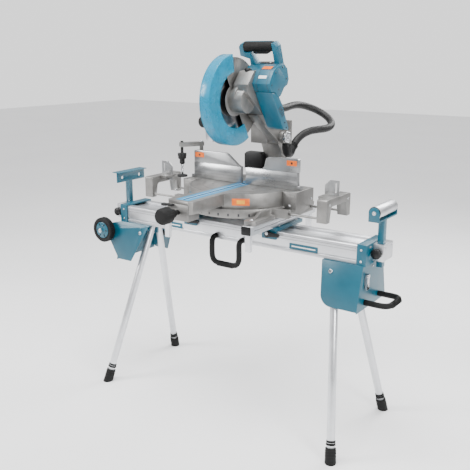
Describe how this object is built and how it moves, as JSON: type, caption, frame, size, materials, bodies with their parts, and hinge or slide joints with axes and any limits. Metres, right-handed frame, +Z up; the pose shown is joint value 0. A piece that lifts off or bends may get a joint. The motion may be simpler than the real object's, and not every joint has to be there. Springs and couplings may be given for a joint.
{
  "type": "sliding mitre saw on folding stand",
  "caption": "Sliding compound mitre saw with raised head, clear blade guard, hose and fences, clamped on a folding aluminium work stand with roller, stop, wheels and splayed legs",
  "frame": {"origin": "on the floor, under the middle of the object's box without the dust hose", "axes": "+X along the beam and the fence to the roller end, -Y to the operator, +Z up"},
  "size_m": [1.3872, 1.0385, 1.4678],
  "materials": {
    "teal_paint": "teal powder coat, slightly glossy",
    "teal_plastic": "teal moulded housing, fine satin texture",
    "black_plastic": "black moulded plastic",
    "black_rubber": "black rubber, matt",
    "hose_rubber": "smooth black flexible hose",
    "extruded_aluminium": "brushed and anodised extrusion",
    "cast_aluminium": "cast, grey, lightly textured",
    "machined_aluminium": "machined faces, fine lines",
    "bright_steel": "ground steel",
    "clear_blue_guard": "clear tinted polycarbonate",
    "kerf_plastic": "light blue plastic strip"
  },
  "bodies": {
    "stand": {"beam": "extruded_aluminium", "leg_housing_right": "teal_paint", "leg_housing_left": "teal_paint", "carry_handle": "black_rubber", "tow_handle": "black_rubber"},
    "leg_right_rear": {"leg_right_rear": "extruded_aluminium", "foot_right_rear": "black_rubber"},
    "leg_right_front": {"leg_right_front": "extruded_aluminium", "foot_right_front": "black_rubber"},
    "leg_left_rear": {"leg_left_rear": "extruded_aluminium", "foot_left_rear": "black_rubber"},
    "leg_left_front": {"leg_left_front": "extruded_aluminium", "foot_left_front": "black_rubber"},
    "release_lever": {"leg_release_lever": "bright_steel"},
    "extension_right": {"extension_bar_right": "extruded_aluminium"},
    "extension_left": {"extension_bar_left": "extruded_aluminium"},
    "post_right": {"roller_post": "teal_paint"},
    "post_left": {"stop_post": "teal_paint"},
    "roller": {"roller": "extruded_aluminium"},
    "post_knob_right": {"post_knob_right": "black_plastic"},
    "post_knob_left": {"post_knob_left": "black_plastic"},
    "wheel_rear": {"wheel_rear": "black_rubber"},
    "wheel_front": {"wheel_front": "black_rubber"},
    "lever_left": {"bracket_lever_left": "black_plastic"},
    "lever_right": {"bracket_lever_right": "black_plastic"},
    "saw_base": {"saddle_left": "teal_paint", "crossbar_left": "extruded_aluminium", "saddle_right": "teal_paint", "crossbar_right": "extruded_aluminium", "saw_base": "cast_aluminium", "fence_left": "machined_aluminium", "fence_right": "machined_aluminium"},
    "upper_fence_left": {"upper_fence_left": "machined_aluminium"},
    "upper_fence_right": {"upper_fence_right": "machined_aluminium"},
    "wing_left": {"wing_left": "cast_aluminium"},
    "wing_right": {"wing_right": "cast_aluminium"},
    "stop_plate_left": {"stop_plate_left": "cast_aluminium"},
    "stop_plate_right": {"stop_plate_right": "cast_aluminium"},
    "vise_arm": {"vise_arm": "cast_aluminium"},
    "vise_screw": {"vise_screw": "black_plastic"},
    "turntable": {"turntable": "cast_aluminium", "kerf_board": "kerf_plastic"},
    "mitre_grip": {"mitre_grip": "black_rubber"},
    "detent_lever": {"detent_lever": "black_plastic"},
    "bevel_arm": {"bevel_arm": "cast_aluminium", "slide_rails": "bright_steel", "dust_hood": "black_plastic"},
    "bevel_knob": {"bevel_knob": "black_rubber"},
    "carriage": {"carriage": "cast_aluminium", "pivot_pin": "bright_steel", "hose_elbow": "black_plastic", "dust_hose": "hose_rubber"},
    "head": {"gear_case": "cast_aluminium", "blade_case": "cast_aluminium", "motor_housing": "teal_plastic", "handle_grip": "black_rubber", "battery_housing": "teal_plastic"},
    "blade": {"blade": "bright_steel"},
    "lower_guard": {"lower_guard": "clear_blue_guard"},
    "trigger": {"trigger": "black_plastic"}
  },
  "joints": [
    {"name": "chop", "type": "hinge", "parent": "carriage", "child": "head", "pos_m": [0.05644, 0.2774, 1.0954], "axis": [1, 0, 0], "range_deg": [0, 38], "stiffness_Nm_per_rad": 30, "springref_deg": -68.75},
    {"name": "lower_guard", "type": "hinge", "parent": "head", "child": "lower_guard", "pos_m": [0.01144, 0.02836, 1.25241], "axis": [1, 0, 0], "range_deg": [-108, 0]},
    {"name": "carriage", "type": "slide", "parent": "bevel_arm", "child": "carriage", "axis": [0, -1, 0], "range_m": [-0.02, 0.2]},
    {"name": "bevel", "type": "hinge", "parent": "turntable", "child": "bevel_arm", "pos_m": [0.01144, 0.3579, 0.9204], "axis": [0, -1, 0], "range_deg": [-35, 34]},
    {"name": "mitre", "type": "hinge", "parent": "saw_base", "child": "turntable", "pos_m": [0.01144, 0.1074, 0.9204], "axis": [0, 0, -1], "range_deg": [-50, 50]},
    {"name": "upper_fence_left", "type": "slide", "parent": "saw_base", "child": "upper_fence_left", "axis": [-1, 0, 0], "range_m": [0, 0.09]},
    {"name": "upper_fence_right", "type": "slide", "parent": "saw_base", "child": "upper_fence_right", "axis": [1, 0, 0], "range_m": [0, 0.09]},
    {"name": "wing_left", "type": "slide", "parent": "saw_base", "child": "wing_left", "axis": [1, 0, 0], "range_m": [0, 0.085]},
    {"name": "wing_right", "type": "slide", "parent": "saw_base", "child": "wing_right", "axis": [-1, 0, 0], "range_m": [0, 0.085]},
    {"name": "stop_plate_left", "type": "slide", "parent": "wing_left", "child": "stop_plate_left", "axis": [0, 0, -1], "range_m": [0, 0.05]},
    {"name": "stop_plate_right", "type": "slide", "parent": "wing_right", "child": "stop_plate_right", "axis": [0, 0, -1], "range_m": [0, 0.05]},
    {"name": "vise_swing", "type": "hinge", "parent": "saw_base", "child": "vise_arm", "pos_m": [-0.22456, 0.1434, 0.9204], "axis": [0, 0, -1], "range_deg": [-60, 12]},
    {"name": "vise_screw", "type": "slide", "parent": "vise_arm", "child": "vise_screw", "axis": [0, 0, 1], "range_m": [0, 0.02]},
    {"name": "leg_right_rear", "type": "hinge", "parent": "stand", "child": "leg_right_rear", "pos_m": [0.47144, 0.1494, 0.669], "axis": [0, 0.9682, 0.2504], "range_deg": [0, 98]},
    {"name": "leg_right_front", "type": "hinge", "parent": "stand", "child": "leg_right_front", "pos_m": [0.47144, 0.0254, 0.669], "axis": [0, 0.9682, -0.2504], "range_deg": [0, 98]},
    {"name": "leg_left_rear", "type": "hinge", "parent": "stand", "child": "leg_left_rear", "pos_m": [-0.44856, 0.1134, 0.669], "axis": [0, -0.9545, -0.2982], "range_deg": [0, 98]},
    {"name": "leg_left_front", "type": "hinge", "parent": "stand", "child": "leg_left_front", "pos_m": [-0.44856, 0.0614, 0.669], "axis": [0, -0.9545, 0.2982], "range_deg": [0, 98]},
    {"name": "extension_right", "type": "slide", "parent": "stand", "child": "extension_right", "axis": [1, 0, 0], "range_m": [0, 0.48]},
    {"name": "extension_left", "type": "slide", "parent": "stand", "child": "extension_left", "axis": [-1, 0, 0], "range_m": [0, 0.48]},
    {"name": "post_right", "type": "slide", "parent": "extension_right", "child": "post_right", "axis": [0, 0, 1], "range_m": [-0.05, 0.07]},
    {"name": "post_left", "type": "slide", "parent": "extension_left", "child": "post_left", "axis": [0, 0, 1], "range_m": [-0.05, 0.07]},
    {"name": "bracket_slide", "type": "slide", "parent": "stand", "child": "saw_base", "axis": [1, 0, 0], "range_m": [-0.12, 0.12]},
    {"name": "bracket_lever_left", "type": "hinge", "parent": "saw_base", "child": "lever_left", "pos_m": [-0.17856, 0.0001, 0.765], "axis": [0, -1, 0], "range_deg": [-70, 0]},
    {"name": "bracket_lever_right", "type": "hinge", "parent": "saw_base", "child": "lever_right", "pos_m": [0.20144, 0.0001, 0.765], "axis": [0, -1, 0], "range_deg": [-70, 0]},
    {"name": "leg_release", "type": "hinge", "parent": "stand", "child": "release_lever", "pos_m": [0.59804, 0.0254, 0.665], "axis": [1, 0, 0], "range_deg": [-25, 0], "stiffness_Nm_per_rad": 0.6, "springref_deg": 11.46},
    {"name": "detent_lever", "type": "hinge", "parent": "turntable", "child": "detent_lever", "pos_m": [-0.01856, -0.3099, 0.9059], "axis": [0, -1, 0], "range_deg": [0, 12], "stiffness_Nm_per_rad": 0.8, "springref_deg": -8.59},
    {"name": "trigger", "type": "slide", "parent": "head", "child": "trigger", "axis": [0, -0.309, 0.9511], "range_m": [0, 0.006], "stiffness_N_per_m": 400, "springref_m": -0.004},
    {"name": "blade_spin", "type": "hinge", "parent": "head", "child": "blade", "pos_m": [0.01144, 0.02836, 1.25241], "axis": [1, 0, 0], "continuous": true},
    {"name": "roller_spin", "type": "hinge", "parent": "post_right", "child": "roller", "pos_m": [0.61804, 0.0874, 0.8979], "axis": [0, 1, 0], "continuous": true},
    {"name": "wheel_rear", "type": "hinge", "parent": "stand", "child": "wheel_rear", "pos_m": [-0.63856, 0.19656, 0.665], "axis": [0, 1, 0], "continuous": true},
    {"name": "wheel_front", "type": "hinge", "parent": "stand", "child": "wheel_front", "pos_m": [-0.63856, -0.02176, 0.665], "axis": [0, 1, 0], "continuous": true},
    {"name": "mitre_grip", "type": "hinge", "parent": "turntable", "child": "mitre_grip", "pos_m": [0.01144, -0.3019, 0.8804], "axis": [0, -1, 0], "range_deg": [-90, 90]},
    {"name": "bevel_knob", "type": "hinge", "parent": "bevel_arm", "child": "bevel_knob", "pos_m": [-0.06856, -0.0069, 1.1724], "axis": [0, -1, 0], "range_deg": [-180, 180]},
    {"name": "post_knob_right", "type": "hinge", "parent": "extension_right", "child": "post_knob_right", "pos_m": [0.61804, 0.0631, 0.744], "axis": [0, -1, 0], "range_deg": [-180, 180]},
    {"name": "post_knob_left", "type": "hinge", "parent": "extension_left", "child": "post_knob_left", "pos_m": [-0.59516, 0.0281, 0.744], "axis": [0, -1, 0], "range_deg": [-180, 180]}
  ],
  "couplings": [
    {"joint": "lower_guard", "follows": "chop", "ratio": -2.8}
  ]
}
